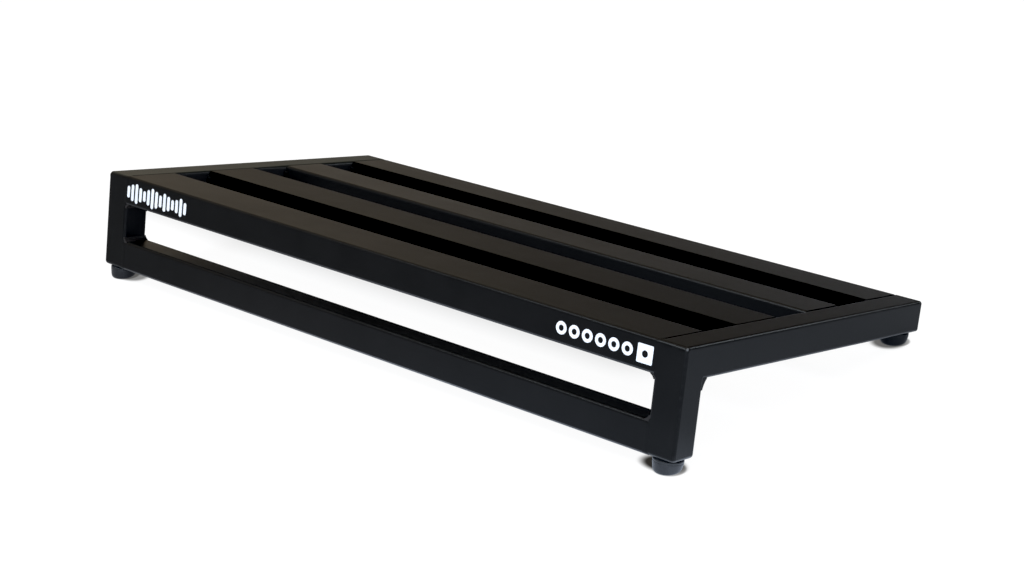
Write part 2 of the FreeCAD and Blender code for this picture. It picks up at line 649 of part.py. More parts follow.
# Deck rail ends: a bead down each inside corner of the gaps, and a seam under each rail end.
for side in ("left", "right"):
    x_in = P["side_width"] if side == "left" else P["board_length"] - P["side_width"]
    sgn = 1 if side == "left" else -1
    solids = []
    gaps = []
    for i, (name, start, width, ewidth) in enumerate(rail_rows):
        if i > 0:
            gaps.append((start, -1))
        if i < 3:
            gaps.append((start + width, 1))
    lb = P["bead_deck"]
    for y, d in gaps:
        a, c = V(sgn * lb, 0, 0), V(0, d * lb, 0)
        mid = V(sgn * lb * 0.36, d * lb * 0.36, 0)
        wire = Part.Wire([Part.makeLine(V(0, 0, 0), a), Part.Arc(a, mid, c).toShape(), Part.makeLine(c, V(0, 0, 0))])
        s_ = Part.Face(wire).extrude(V(0, 0, P["tube_height"] - 2 * r - 2.0))
        s_.Placement = deck_at(x_in, y, -P["tube_height"] + r)
        solids.append(s_)
    for name, start, width, ewidth in rail_rows:
        # seam under the rail end, in the groove beside the side rail's rounded edge
        bar = Part.makeBox(r, width - 2 * r, r, V(-r if side == "left" else 0, 0, 0))
        bar.Placement = deck_at(x_in, start + r, -P["tube_height"])
        for n, ob in nodes:
            if n in ("side_rail_" + side, "leg_" + side, name, "weld_bead_knee_" + side, "rivet_nuts",
                     "weld_seams_tall_face", "side_rail_end_plate_" + side):
                bar = bar.cut(ob.Shape)
        # the groove's own piece touches the plane of the rail ends
        edge = deck_at(x_in, 0, 0).Base.x
        q = [t for t in bar.Solids if t.Volume > 1.0 and t.BoundBox.XMin < edge + 0.01 and t.BoundBox.XMax > edge - 0.01]
        q.sort(key=lambda t: -t.Volume)
        if q:
            solids.append(q[0])
    weld_group("weld_beads_deck_" + side, solids)


# ------------------------------------------------------------ printed marks
def printed(outline_faces, label):
    solids = [f_.extrude(V(0, -P["mark_thick"], 0)) for f_ in outline_faces]
    o = doc.addObject("Part::Feature", label)
    o.Shape = Part.makeCompound(solids)
    o.Placement = deck_at(0, 0, 0)
    return keep(o, label)


def capsule(x, z0, z1, w):
    """Upright bar with round ends on the tall face."""
    rr = w / 2.0
    return Part.Face(Part.Wire([
        Part.makeLine(V(x - rr, 0, z0 + rr), V(x - rr, 0, z1 - rr)),
        Part.Arc(V(x - rr, 0, z1 - rr), V(x, 0, z1), V(x + rr, 0, z1 - rr)).toShape(),
        Part.makeLine(V(x + rr, 0, z1 - rr), V(x + rr, 0, z0 + rr)),
        Part.Arc(V(x + rr, 0, z0 + rr), V(x, 0, z0), V(x - rr, 0, z0 + rr)).toShape()]))


# left mark: a plain row of level bars about one mid line
mid_z = -12.6
heights = [10.0, 14.0, 16.6, 12.0, 9.0, 13.0, 17.0, 14.0, 10.0, 15.0, 12.0, 8.6, 11.0, 15.0, 10.0]
bars = [capsule(27.4 + 5.2 * i, mid_z - h_ / 2, mid_z + h_ / 2, 3.4) for i, h_ in enumerate(heights)]
printed(bars, "printed_mark_left")


# right mark: a row of rings, then a square with a round window
def ring(x, z, ro, ri):
    disc = Part.Face(Part.Wire(Part.makeCircle(ro, V(x, 0, z), V(0, 1, 0))))
    eye = Part.Face(Part.Wire(Part.makeCircle(ri, V(x, 0, z), V(0, 1, 0))))
    return disc.cut(eye).Faces[0]


def rounded_square(x, z, half, rad):
    pts = [V(x - half + rad, 0, z - half), V(x + half - rad, 0, z - half), V(x + half, 0, z - half + rad),
           V(x + half, 0, z + half - rad), V(x + half - rad, 0, z + half), V(x - half + rad, 0, z + half),
           V(x - half, 0, z + half - rad), V(x - half, 0, z - half + rad)]
    k = rad * (1 - math.sqrt(0.5))
    mids = {1: V(x + half - k, 0, z - half + k), 3: V(x + half - k, 0, z + half - k),
            5: V(x - half + k, 0, z + half - k), 7: V(x - half + k, 0, z - half + k)}
    edges = []
    for i in range(8):
        a, c = pts[i], pts[(i + 1) % 8]
        edges.append(Part.Arc(a, mids[i], c).toShape() if i in mids else Part.makeLine(a, c))
    return Part.Wire(edges)


right_faces = [ring(503.0 + 11.6 * i, mid_z, 4.7, 2.2) for i in range(6)]
sq = rounded_square(576.0, mid_z, 6.6, 1.0)
eye = Part.Face(Part.Wire(Part.makeCircle(2.5, V(576.0, 0, mid_z), V(0, 1, 0))))
right_faces.append(Part.Face(sq).cut(eye).Faces[0])
printed(right_faces, "printed_mark_right")

# ------------------------------------------------------------ final checks
doc.recompute()
for o in doc.Objects:
    bad = [st for st in o.State if st in ("Invalid", "Error")]
    if bad:
        raise RuntimeError("%s is %s" % (o.Name, bad))
lo = [1e9] * 3
hi = [-1e9] * 3
seen = set()
for label, o in nodes:
    sh = o.Shape
    if sh.isNull() or not sh.isValid() or sh.Volume <= 0:
        raise RuntimeError("bad shape " + label)
    if label in seen:
        raise RuntimeError("two nodes named " + label)
    seen.add(label)
    bb = sh.BoundBox
    for i, (a, c) in enumerate(((bb.XMin, bb.XMax), (bb.YMin, bb.YMax), (bb.ZMin, bb.ZMax))):
        lo[i], hi[i] = min(lo[i], a), max(hi[i], c)
for label, o in nodes:
    o.Shape.exportStep("parts/" + label + ".step")
print("nodes", len(nodes))
for label, o in nodes:
    print("  %-32s solids %2d volume %.1f" % (label, len(o.Shape.Solids), o.Shape.Volume))
print("box low  %.3f %.3f %.3f" % tuple(lo))
print("box high %.3f %.3f %.3f" % tuple(hi))
print("tilt %.4f leg tilt %.4f origin_z %.4f knee_y %.3f corner_y %.3f leg_y %.3f" % (
    P["tilt_deg"], P["leg_tilt_deg"], P["origin_z"], knee_y, corner_y, leg_y))
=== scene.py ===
import math
import bpy
import bmesh
from mathutils import Matrix, Vector

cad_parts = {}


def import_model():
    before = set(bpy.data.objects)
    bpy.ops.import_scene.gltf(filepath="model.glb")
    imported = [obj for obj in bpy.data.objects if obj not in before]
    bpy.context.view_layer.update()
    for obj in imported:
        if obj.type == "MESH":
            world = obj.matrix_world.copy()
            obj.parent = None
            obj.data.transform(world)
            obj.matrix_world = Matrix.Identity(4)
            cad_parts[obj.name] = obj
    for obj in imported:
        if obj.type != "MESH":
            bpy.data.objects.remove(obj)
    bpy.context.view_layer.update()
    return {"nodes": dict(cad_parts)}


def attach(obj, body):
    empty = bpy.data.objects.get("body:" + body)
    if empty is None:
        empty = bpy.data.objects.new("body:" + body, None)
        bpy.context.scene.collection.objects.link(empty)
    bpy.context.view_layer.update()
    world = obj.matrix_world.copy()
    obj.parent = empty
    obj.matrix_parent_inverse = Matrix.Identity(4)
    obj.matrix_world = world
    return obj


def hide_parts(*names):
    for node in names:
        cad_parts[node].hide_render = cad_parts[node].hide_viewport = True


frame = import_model()
N = frame["nodes"]
scene = bpy.context.scene


def obj(name):
    o = N[name]
    return bpy.data.objects[o] if isinstance(o, str) else o


# ---------------------------------------------------------------- frames
MM = 0.001
TILT = math.radians(11.2524)
LEAN = math.radians(0.97)
LENGTH, DEPTH, TUBE, SIDE = 609.6, 308.5, 24.4, 24.6
LEG_DEPTH, LEG_DROP, WINDOW = 23.2, 80.6, 56.0
EDGE = 2.4
LEG_Y = (LEG_DROP - 12.2) * math.tan(LEAN)
DECK = (Matrix.Translation((-LENGTH / 2 * MM, -143.71 * MM, 90.7930 * MM))
        @ Matrix.Rotation(-TILT, 4, "X") @ Matrix.Scale(MM, 4))


def leg_frame(x):
    """Millimetres in the leg's own frame, z up the leg, to metres in the row frame."""
    return DECK @ Matrix.Translation((x, LEG_Y, -LEG_DROP)) @ Matrix.Rotation(LEAN, 4, "X")


def deck_at(x, y, z):
    return DECK @ Matrix.Translation((x, y, z))


# ---------------------------------------------------------------- camera
cam_data = bpy.data.cameras.new("camera")
cam = bpy.data.objects.new("camera", cam_data)
scene.collection.objects.link(cam)
cam_data.sensor_width = 36.0
cam_data.lens = 69.3514
cam_data.clip_start, cam_data.clip_end = 0.05, 60.0
cam.matrix_world = Matrix((
    (0.7478455, -0.2274957, 0.6236768, 1.014376),
    (0.6636279, 0.2816894, -0.6930000, -1.1030917),
    (-0.0180286, 0.9321463, 0.3616327, 0.5965161),
    (0, 0, 0, 1)))
scene.camera = cam
scene.view_settings.view_transform = "Standard"
scene.view_settings.look = "None"
scene.view_settings.exposure = 0.0
scene.view_settings.gamma = 1.0


# ------------------------------------------------------- material helper
class Mat:
    def __init__(self, name):
        self.m = bpy.data.materials.new(name)
        self.m.use_nodes = True
        self.t = self.m.node_tree
        self.t.nodes.clear()
        self.out = self.t.nodes.new("ShaderNodeOutputMaterial")

    def node(self, kind, **props):
        n = self.t.nodes.new("ShaderNode" + kind)
        for k, v in props.items():
            setattr(n, k, v)
        return n

    def put(self, sock, value):
        if isinstance(value, bpy.types.NodeSocket):
            self.t.links.new(value, sock)
        elif value is not None:
            sock.default_value = value

    def coord(self):
        return self.node("TexCoord").outputs["Object"]

    def noise(self, vec, scale, detail=2.0, rough=0.5, dist=0.0):
        n = self.node("TexNoise")
        self.put(n.inputs["Vector"], vec)
        n.inputs["Scale"].default_value = scale
        n.inputs["Detail"].default_value = detail
        n.inputs["Roughness"].default_value = rough
        n.inputs["Distortion"].default_value = dist
        return n.outputs["Fac"]

    def voronoi(self, vec, scale, feature="F1", rand=1.0):
        n = self.node("TexVoronoi", feature=feature)
        self.put(n.inputs["Vector"], vec)
        n.inputs["Scale"].default_value = scale
        n.inputs["Randomness"].default_value = rand
        return n.outputs["Distance"]

    def math(self, op, a, b=None, c=None, clamp=False):
        n = self.node("Math", operation=op, use_clamp=clamp)
        self.put(n.inputs[0], a)
        self.put(n.inputs[1], b)
        self.put(n.inputs[2], c)
        return n.outputs[0]

    def span(self, v, a, b, lo=0.0, hi=1.0, smooth=False):
        n = self.node("MapRange", clamp=True)
        if smooth:
            n.interpolation_type = "SMOOTHSTEP"
        self.put(n.inputs["Value"], v)
        n.inputs["From Min"].default_value, n.inputs["From Max"].default_value = a, b
        n.inputs["To Min"].default_value, n.inputs["To Max"].default_value = lo, hi
        return n.outputs["Result"]

    def mix(self, fac, a, b, blend="MIX"):
        n = self.node("Mix", data_type="RGBA", blend_type=blend)
        self.put(n.inputs["Factor"], fac)
        self.put(n.inputs[6], a)
        self.put(n.inputs[7], b)
        return n.outputs[2]

    def stretch(self, vec, s):
        n = self.node("Mapping")
        self.put(n.inputs["Vector"], vec)
        n.inputs["Scale"].default_value = s
        return n.outputs["Vector"]

    def bump(self, height, distance, strength=1.0, normal=None):
        n = self.node("Bump")
        n.inputs["Strength"].default_value = strength
        n.inputs["Distance"].default_value = distance
        self.put(n.inputs["Height"], height)
        self.put(n.inputs["Normal"], normal)
        return n.outputs["Normal"]

    def edges(self, radius, gain):
        """0 on flats, rising to 1 on outer corners, from a rounded normal."""
        bev = self.node("Bevel", samples=4)
        bev.inputs["Radius"].default_value = radius
        geo = self.node("NewGeometry")
        dot = self.node("VectorMath", operation="DOT_PRODUCT")
        self.put(dot.inputs[0], bev.outputs["Normal"])
        self.put(dot.inputs[1], geo.outputs["Normal"])
        return self.math("MULTIPLY", self.math("SUBTRACT", 1.0, dot.outputs["Value"]), gain, clamp=True)

    def principled(self, **kw):
        n = self.node("BsdfPrincipled")
        for k, v in kw.items():
            self.put(n.inputs[k.replace("_", " ")], v)
        self.t.links.new(n.outputs[0], self.out.inputs[0])
        return n


def rgb(r, g, b):
    return (r, g, b, 1.0)


# ------------------------------------------------------------- materials
def powder_coat(name, rough=0.36, spec=0.14, base=(0.0046, 0.0046, 0.0047), grain=1.0, wear="corner",
                rub_gain=0.35, front=None, top_light_tone=None, edge_rough=-0.05, edge_spec=1.0, toe_light_gain=0.9,
                inner=None, near_shade_spec=None, toe_light_from=(0.07, -0.25)):
    """Satin black powder coat: orange peel, fine grain, faint handling marks, rubbed edges; optionally painted light
    too: paler lit faces, pale underside edges, dark matte near faces for shade and a glint on sharp corner points.
    """
    k = Mat(name)
    p = k.coord()
    peel = k.noise(p, 620.0, 2.0, 0.45)
    fine = k.noise(p, 2600.0, 2.0, 0.6)
    cloud = k.noise(p, 34.0, 3.0, 0.5)
    wide = k.noise(p, 9.0, 2.0, 0.5)
    dark = rgb(*[c * 0.9 for c in base])
    light = rgb(*[c * 1.2 for c in base])
    col = k.mix(k.span(cloud, 0.32, 0.68), dark, light)
    # painted light: the front or top faces of the tube are painted a paler black, standing in for the light that falls
    # on them
    for axis, sign, shade in ((1, -1.0, front), (2, 1.0, top_light_tone)):
        if shade:
            nn = k.node("SeparateXYZ")
            k.put(nn.inputs[0], k.node("NewGeometry").outputs["Normal"])
            faces = k.span(k.math("MULTIPLY", nn.outputs[axis], sign), 0.75, 0.95, 0.0, 1.0, smooth=True)
            painted_tone = shade if isinstance(shade, tuple) else (shade, shade, shade * 1.02)
            col = k.mix(faces, col, rgb(*painted_tone))
    # painted light: the inside faces of the left end are painted a paler black, standing in for the light on them
    if inner:
        nn = k.node("SeparateXYZ")
        k.put(nn.inputs[0], k.node("NewGeometry").outputs["Normal"])
        col = k.mix(k.span(nn.outputs[0], 0.75, 0.95, 0.0, 1.0, smooth=True), col, rgb(inner, inner, inner * 1.06))
    # settled dust, a few pale specks
    speck = k.span(k.voronoi(p, 210.0), 0.035, 0.015, 0.0, 1.0)
    keepers = k.span(k.noise(p, 60.0, 1.0), 0.62, 0.66)
    dust = k.math("MULTIPLY", speck, keepers)
    col = k.mix(k.math("MULTIPLY", dust, 0.4), col, rgb(0.05, 0.048, 0.045))
    # rubbed coat along outer corners, broken up
    if wear == "corner":
        edge = k.edges(0.0014, 9.0)
        # cut rail ends are welded up, so they carry no wear of their own
        sep = k.node("SeparateXYZ")
        k.put(sep.inputs[0], p)
        inner = k.span(k.math("ABSOLUTE", sep.outputs[0]), 0.2765, 0.2785, 1.0, 0.0)
        edge = k.math("MULTIPLY", edge, inner)
    else:
        # the drawn wear attribute also carries a painted highlight raised on the outer corner point
        at = k.node("Attribute", attribute_name="wear")
        edge = at.outputs["Fac"]
    rub = k.math("MULTIPLY", edge, k.span(k.noise(p, 240.0, 3.0, 0.6), 0.5, 0.72))
    col = k.mix(k.math("MULTIPLY", rub, rub_gain), col, rgb(0.022, 0.022, 0.023))
    r = k.math("ADD", k.span(wide, 0.3, 0.7, rough - 0.012, rough + 0.012),
               k.span(fine, 0.3, 0.7, -0.02, 0.02))
    r = k.math("ADD", r, k.span(cloud, 0.3, 0.7, -0.012, 0.012))
    r = k.math("ADD", r, k.math("MULTIPLY", edge, edge_rough))
    # painted highlight: underside corners are painted paler, standing in for the floor's light caught on them, more in
    # some stretches than others
    down = k.node("SeparateXYZ")
    k.put(down.inputs[0], k.node("NewGeometry").outputs["Normal"])
    under = k.math("MULTIPLY", k.span(down.outputs[2], *toe_light_from), k.span(down.outputs[2], -0.84, -0.66))
    where = k.span(k.noise(k.stretch(p, (0.25, 1.0, 1.0)), 22.0, 3.0, 0.6), 0.30, 0.62, 0.45, 1.0)
    toe_light = k.math("MULTIPLY", k.math("MULTIPLY", under, where), toe_light_gain)
    if toe_light_from[0] > 0.0:
        toe_light = k.math("MULTIPLY", toe_light, k.span(k.math("ABSOLUTE", down.outputs[0]), 0.6, 0.3))
    col = k.mix(toe_light, col, rgb(0.12, 0.122, 0.128))
    nrm = k.bump(peel, 0.000020 * grain, 1.0, None)
    nrm = k.bump(fine, 0.000009 * grain, 1.0, nrm)
    level = k.math("MULTIPLY", spec, k.math("ADD", 1.0, k.math("MULTIPLY", edge, edge_spec - 1.0)))
    if near_shade_spec is not None:
        # painted shade: the near edge of the rail and its face lose their gloss and turn rougher, so they read dark,
        # standing in for shade
        turned = k.node("VectorMath", operation="DOT_PRODUCT")
        k.put(turned.inputs[0], k.node("NewGeometry").outputs["Normal"])
        turned.inputs[1].default_value = (0.0, -math.cos(TILT), math.sin(TILT))
        near_shade_mask = k.span(turned.outputs["Value"], 0.02, 0.55, 0.0, 1.0, smooth=True)
        level = k.math("MULTIPLY", level, k.math("ADD", 1.0, k.math("MULTIPLY", near_shade_mask, near_shade_spec - 1.0)))
        r = k.math("ADD", r, k.math("MULTIPLY", near_shade_mask, 0.2))
    tip_glint = 0.0
    if wear == "drawn":
        # painted highlight: bright metal on the sharpest corner points, standing in for their glint
        tip_glint = k.span(edge, 1.3, 2.3, 0.0, 0.25, smooth=True)
        col = k.mix(tip_glint, col, rgb(0.42, 0.44, 0.47))
    k.principled(Base_Color=col, Roughness=r, Specular_IOR_Level=level, Normal=nrm, Metallic=tip_glint)
    return k.m


def rubber(name, spec=0.38, sheen=0.15, painted_tone=1.0):
    """Moulded black rubber, slightly dusty, with a soft bluish sheen."""
    k = Mat(name)
    p = k.coord()
    grit = k.noise(p, 1800.0, 3.0, 0.6)
    cloud = k.noise(p, 140.0, 3.0, 0.5)
    col = k.mix(k.span(cloud, 0.3, 0.7), rgb(0.009 * painted_tone, 0.0102 * painted_tone, 0.0126 * painted_tone),
                rgb(0.015 * painted_tone, 0.0166 * painted_tone, 0.0200 * painted_tone))
    r = k.span(grit, 0.3, 0.7, 0.36, 0.50)
    nrm = k.bump(grit, 0.00002, 1.0)
    k.principled(Base_Color=col, Roughness=r, Specular_IOR_Level=spec, Normal=nrm,
                 Sheen_Weight=sheen, Sheen_Roughness=0.35, Sheen_Tint=rgb(0.80, 0.88, 1.0))
    return k.m


def zinc(name):
    k = Mat(name)
    p = k.coord()
    turn = k.noise(k.stretch(p, (1.0, 1.0, 6.0)), 900.0, 3.0, 0.6)
    tint = k.noise(p, 260.0, 2.0, 0.5)
    col = k.mix(k.span(tint, 0.3, 0.7), rgb(0.42, 0.43, 0.45), rgb(0.60, 0.60, 0.58))
    nrm = k.bump(turn, 0.000012, 1.0)
    k.principled(Base_Color=col, Metallic=1.0, Roughness=k.span(turn, 0.3, 0.7, 0.28, 0.46), Normal=nrm)
    return k.m


def black_zinc(name):
    """Black-passivated steel."""
    k = Mat(name)
    p = k.coord()
    turn = k.noise(k.stretch(p, (1.0, 1.0, 6.0)), 900.0, 3.0, 0.6)
    col = k.mix(k.span(k.noise(p, 260.0, 2.0), 0.3, 0.7), rgb(0.030, 0.031, 0.034), rgb(0.050, 0.050, 0.052))
    nrm = k.bump(turn, 0.000012, 1.0)
    k.principled(Base_Color=col, Metallic=1.0, Roughness=k.span(turn, 0.3, 0.7, 0.34, 0.50), Normal=nrm)
    return k.m


def ink(name):
    """White screen print: solid, very slightly thin and pinholed."""
    k = Mat(name)
    p = k.coord()
    body = k.noise(p, 900.0, 3.0, 0.6)
    cloud = k.noise(p, 90.0, 2.0, 0.5)
    col = k.mix(k.span(cloud, 0.3, 0.7), rgb(0.80, 0.84, 0.90), rgb(0.88, 0.91, 0.95))
    pin = k.math("MULTIPLY", k.span(k.voronoi(p, 1400.0), 0.10, 0.05), k.span(k.noise(p, 300.0, 1.0), 0.62, 0.68))
    col = k.mix(k.math("MULTIPLY", pin, 0.5), col, rgb(0.2, 0.21, 0.22))
    nrm = k.bump(body, 0.000014, 1.0)
    k.principled(Base_Color=col, Roughness=k.span(body, 0.3, 0.7, 0.5, 0.62), Specular_IOR_Level=0.3, Normal=nrm)
    return k.m


COAT = powder_coat("powder_coat", toe_light_gain=0.45)
# lit and shaded copies of the coat: rail 3's near face is painted paler for light; rails 2 and 4 have their near faces
# turned matte and dark for shade
COAT_RAIL_3_NEAR_LIT = powder_coat("powder_coat_rail_3_near_lit", rough=0.33, spec=0.17, front=0.0105, toe_light_gain=0.45)
COAT_RAIL_2_NEAR_SHADE = powder_coat("powder_coat_rail_2_near_shade", rough=0.38, spec=0.12, rub_gain=0.0, near_shade_spec=0.0)
COAT_RAIL_4_NEAR_SHADE = powder_coat("powder_coat_rail_4_near_shade", rough=0.38, spec=0.25, rub_gain=0.0, near_shade_spec=0.0)
# painted light: the lower rail's top faces are painted paler
COAT_LOW_LIT_TOP = powder_coat("powder_coat_lower_rail_lit_top", spec=0.145, top_light_tone=0.0095, edge_rough=0.08, rub_gain=0.15)
SHELL = powder_coat("powder_coat_frame", wear="drawn", toe_light_from=(-0.08, -0.38), toe_light_gain=0.5)
# painted light: the left rail's inside and top faces and the left leg's inside faces are painted paler
SHELL_RAIL_LIT_FACES = powder_coat("powder_coat_frame_left_rail_lit_faces", wear="drawn", inner=0.018, toe_light_from=(-0.08, -0.38),
                         top_light_tone=(0.0180, 0.0215, 0.0195))
SHELL_LEG_LIT_INSIDE = powder_coat("powder_coat_frame_left_leg_lit_inside", wear="drawn", inner=0.0095, toe_light_from=(-0.08, -0.38))
WELD = powder_coat("powder_coat_weld", rough=0.42, spec=0.08, grain=1.4, wear="drawn", rub_gain=0.12, toe_light_gain=0.0)
# painted light: the window weld beads are painted paler than the coat so they show lighter in the window corners
WELD_WINDOW_LIT = powder_coat("powder_coat_weld_window_lit", rough=0.36, spec=0.14, grain=1.2, wear="drawn", rub_gain=0.12,
                        toe_light_gain=0.0, base=(0.0220, 0.0205, 0.0205))
WELD_SMOOTH = powder_coat("powder_coat_weld_knee", wear="drawn", rub_gain=0.12, toe_light_gain=0.0)
RUBBER = rubber("moulded_rubber")
# painted shade: the low feet use a darker, duller copy of the rubber
RUBBER_LOW_SHADED = rubber("moulded_rubber_low_shaded", 0.20, 0.04, 0.6)
ZINC = zinc("zinc_plate")
NUT = black_zinc("black_zinc")
INK = ink("screen_print")

for n in N:
    o = obj(n)
    if n.startswith("printed"):
        m = INK
    elif n.startswith("weld"):
        m = WELD
    elif n.startswith("rivet"):
        m = NUT
    elif n.startswith("foot_screws") or n.startswith("foot_washers"):
        m = ZINC
    elif n.startswith("foot_"):
        m = RUBBER
    elif n == "deck_rail_3":
        m = COAT_RAIL_3_NEAR_LIT
    elif n == "deck_rail_2":
        m = COAT_RAIL_2_NEAR_SHADE
    elif n == "deck_rail_4":
        m = COAT_RAIL_4_NEAR_SHADE
    elif n == "lower_rail":
        m = COAT_LOW_LIT_TOP
    else:
        m = COAT
    for s in o.material_slots:
        s.material = m


# ------------------------------------------------------------ mesh helpers
def smoothstep(a, b, v):
    t = min(1.0, max(0.0, (v - a) / (b - a)))
    return t * t * (3.0 - 2.0 * t)


def finish_piece(name, bm, mat, nodes, angle=38.0, weld=1e-7):
    """One closed mesh in the row frame, as its own piece standing for the given nodes."""
    bmesh.ops.remove_doubles(bm, verts=bm.verts, dist=weld)
    bmesh.ops.recalc_face_normals(bm, faces=bm.faces)
    me = bpy.data.meshes.new(name)
    bm.to_mesh(me)
    bm.free()
    me.polygons.foreach_set("use_smooth", [True] * len(me.polygons))
    me.set_sharp_from_angle(angle=math.radians(angle))
    o = bpy.data.objects.new(name, me)
    scene.collection.objects.link(o)
    me.materials.append(mat)
    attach(o, "root")
    if nodes:
        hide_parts(*nodes)
    return o


def new_bm():
    bm = bmesh.new()
    return bm, bm.verts.layers.float.new("wear")


def skin(bm, rings, close_start=True, close_end=True):
    """Quads between rings of equal length, each a list of bmesh vertices, with flat ends."""
    n = len(rings[0])
    for a, b in zip(rings, rings[1:]):
        for i in range(n):
            j = (i + 1) % n
            quad = [a[i], a[j], b[j], b[i]]
            if (quad[0].co - quad[1].co).length < 1e-9 and (quad[2].co - quad[3].co).length < 1e-9:
                continue
            bm.faces.new(quad)
    if close_start:
        bm.faces.new(list(reversed(rings[0])))
    if close_end:
        bm.faces.new(rings[-1])


# ------------------------------------------- end frames: leg and side rail
COS_L, SIN_L = math.cos(LEAN), math.sin(LEAN)
CORNER_Y = -12.2 * math.tan(LEAN)
LEG_BACK = (LEG_DROP - LEG_DEPTH * SIN_L - TUBE) / COS_L
LEG_FRONT = LEG_DROP / COS_L
KNEE = Vector((LEG_Y + LEG_DEPTH * COS_L - LEG_BACK * SIN_L, -TUBE))
CORNER = Vector((CORNER_Y, 0.0))
UP = Vector((-SIN_L, COS_L))


def corner_arc(radius, steps):
    """Points of the ground outer corner in the side plane, from the front face to the top."""
    down, back = -UP, Vector((1.0, 0.0))
    half = math.acos(down.dot(back)) / 2.0
    centre = CORNER + (down + back).normalized() * (radius / math.sin(half))
    a = CORNER + down * (radius / math.tan(half))
    b = CORNER + back * (radius / math.tan(half))
    va, vb = a - centre, b - centre
    full = va.angle(vb)
    out = []
    for i in range(steps + 1):
        t = i / steps
        out.append(centre + (va * math.sin((1 - t) * full) + vb * math.sin(t * full)) / math.sin(full))
    return out


ARC_STEPS = 8


def stations():
    """(kind, inner point, contour as a function of the column, inner corner radius) up the leg and back along the side."""
    rows = []

    def straight(s):
        front = Vector((LEG_Y, -LEG_DROP)) + UP * s
        back = front + Vector((COS_L, SIN_L)) * LEG_DEPTH
        near_joint = 1.0 - smoothstep(23.4, 26.4, s) * (1.0 - smoothstep(54.2, 55.6, s))
        return ("leg", back, lambda rad, f=front: f, 2.4 - 2.15 * near_joint)

    for s in (3.0, 3.4, 12.0, 21.0, 23.4, 24.4, 25.4, 26.4, 30.0, 40.0, 50.0, 54.2, 54.9, LEG_BACK):
        rows.append(straight(s))
    for t in (22.0, 18.0, 14.0, 10.0, 7.5, 5.5, 4.4):
        rows.append(("fan", KNEE, lambda rad, t=t: CORNER - UP * t, 0.25))
    for i in range(ARC_STEPS + 1):
        rows.append(("arc", KNEE, lambda rad, i=i: corner_arc(rad, ARC_STEPS)[i], 0.25))
    for t in (4.4, 5.5, 7.5, 10.0, 14.0, 18.0, 21.0):
        r_in = 0.25 + 2.15 * smoothstep(3.2, 8.0, t)
        rows.append(("fan", KNEE, lambda rad, t=t: CORNER + Vector((t, 0.0)), r_in))
    for y in (KNEE.x, 24.5, 40.0, 60.0, 90.0, 130.0, 160.0, 176.0, 230.0, 280.0, 304.0, 305.5):
        # the cope at the two back rails is left more open
        rows.append(("side", Vector((y, -TUBE)), lambda rad, y=y: Vector((y, 0.0)), 2.4 + 0.9 * smoothstep(158, 178, y)))
    return rows


def section(width, row, corner_n=6):
    """Ring of (x from the outer side, y, z, wear) for one station."""
    kind, inner, contour, r_in = row
    out = []
    mid = contour(2.8)
    ray = mid - inner
    length = ray.length
    if kind == "leg" or kind == "side":
        cosine = 1.0
    elif kind == "arc":
        cosine = 1.0
    else:
        cosine = max(0.72, abs(ray.normalized().dot(Vector((-COS_L, -SIN_L)) if mid.y < -4.0 else Vector((0.0, 1.0)))))
    stretch = 1.0 / cosine
    sup = 0.22

    def point(x, f, wear):
        rad = 2.4 + 0.7 * smoothstep(0.0, 1.0, 1.0 - x / (width * 0.85))
        c = contour(rad)
        q = inner + (c - inner) * f
        out.append((x, q.x, q.y, wear))

    def corner(x_c, sx, f_c, sf, r, start, wear):
        """Quarter round about the corner; start 0 runs side to face, 1 runs face to side."""
        rx, rf = r, r * stretch / length
        seq = range(corner_n + 1) if start == 0 else range(corner_n, -1, -1)
        for i in seq:
            a = math.pi / 2 * i / corner_n
            w = wear * math.sin(2 * a)
            point(x_c + sx * rx * (1 - math.sin(a)), f_c + sf * rf * (1 - math.cos(a)), w)

    re = EDGE
    top_wear = 1.0 if kind in ("leg", "side") else 1.0
    crest = 0.0
    if kind == "arc":
        crest = 0.8
    # outer side, going up to the face
    point(0.0, 1.0 - (re * stretch + sup) / length, 0.0)
    corner(0.0, 1, 1.0, -1, re, 1, top_wear)
    cols = 7
    for i in range(cols + 1):
        x = re + sup + (width - re - r_in - 2 * sup) * i / cols
        point(x, 1.0, crest)
    corner(width, -1, 1.0, -1, r_in, 0, 0.6 if r_in > 1.0 else 0.0)
    point(width, 1.0 - (r_in * stretch + sup) / length, 0.0)
    point(width, (re + sup) / length, 0.0)
    corner(width, -1, 0.0, 1, re, 1, 0.3)
    point(width - re - sup, 0.0, 0.0)
    point(re + sup, 0.0, 0.0)
    corner(0.0, 1, 0.0, 1, re, 0, 0.5)
    point(0.0, (re + sup) / length, 0.0)
    return out


def end_frame(side):
    rows = stations()
    arc0 = next(i for i, r in enumerate(rows) if r[0] == "arc")
    split = arc0 + ARC_STEPS // 2
    made = {}
    for tag, part in (("leg", rows[:split + 1]), ("side_rail", rows[split:])):
        bm, wl = new_bm()
        rings = []
        for row in part:
            ring = []
            for x, y, z, w in section(SIDE, row):
                xx = x if side == "left" else LENGTH - x
                v = bm.verts.new(DECK @ Vector((xx, y, z)))
                # painted highlight: the wear value is raised near the outer corner point, where the coat turns to
                # bright metal standing in for a glint
                glint_distance = (Vector((x, y, z)) - Vector((0.9, CORNER.x + 0.9, CORNER.y - 0.9))).length
                v[wl] = w + 1.9 * max(0.0, 1.0 - glint_distance / 2.4)
                ring.append(v)
            rings.append(ring)
        skin(bm, rings)
        coat = SHELL if side == "right" else (SHELL_LEG_LIT_INSIDE if tag == "leg" else SHELL_RAIL_LIT_FACES)
        made[tag] = finish_piece(tag + "_shell_" + side, bm, coat, [tag + "_" + side], 40.0, 1e-7)
    return made


for side in ("left", "right"):
    end_frame(side)


